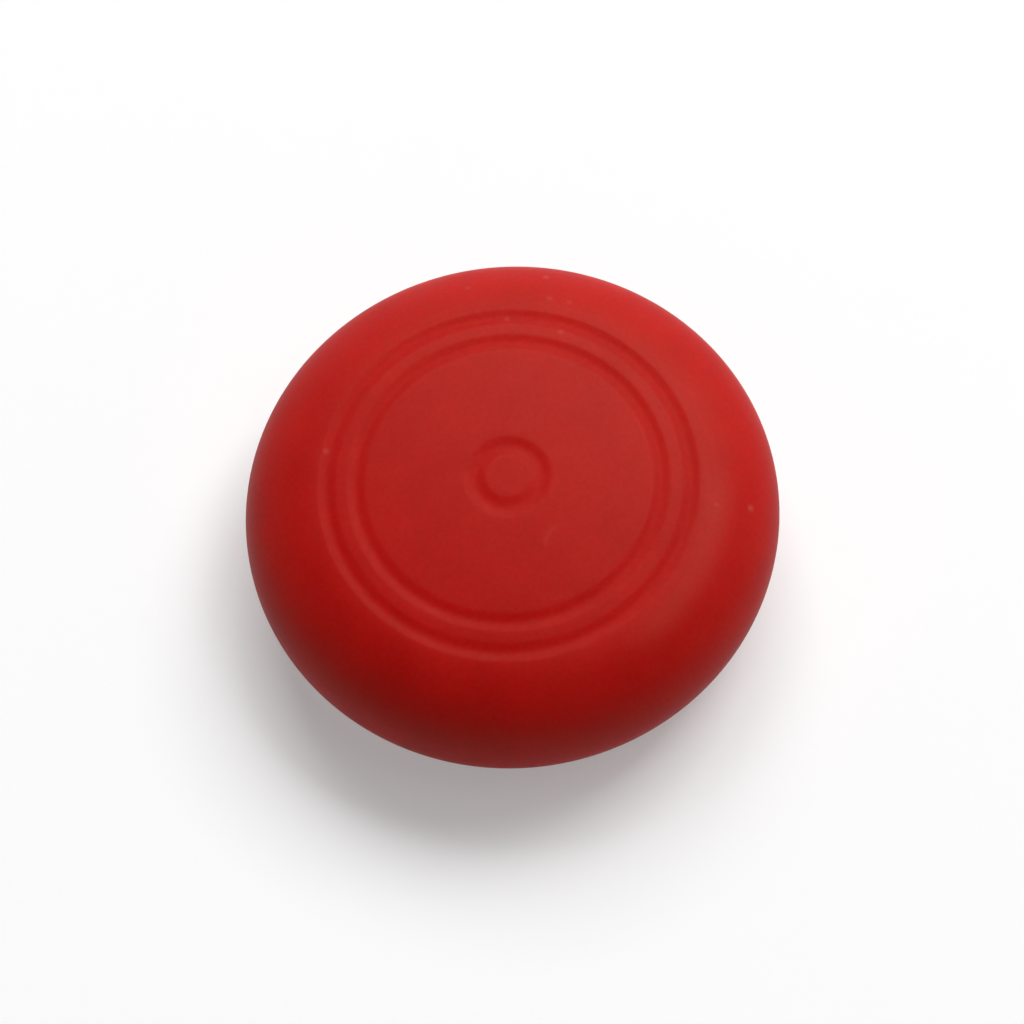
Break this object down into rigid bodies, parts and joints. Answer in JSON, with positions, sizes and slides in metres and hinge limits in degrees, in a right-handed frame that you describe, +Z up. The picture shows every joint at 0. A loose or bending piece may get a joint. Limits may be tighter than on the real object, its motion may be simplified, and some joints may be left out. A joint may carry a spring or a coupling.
{
  "type": "controller thumb grip",
  "caption": "Round domed silicone cap with engraved concentric rings and a hollow, lipped underside that stretches over a controller stick.",
  "frame": {"origin": "centre of the underside, on the plane that the foot ring stands on", "axes": "+Z up along the cap's axis, out of the domed top; the cap is round, so +X and +Y are free"},
  "size_m": [0.018, 0.018, 0.0058],
  "materials": {
    "silicone": "matt moulded red silicone with a faint sheen"
  },
  "bodies": {
    "root": {"grip_cap": "silicone"}
  },
  "joints": []
}
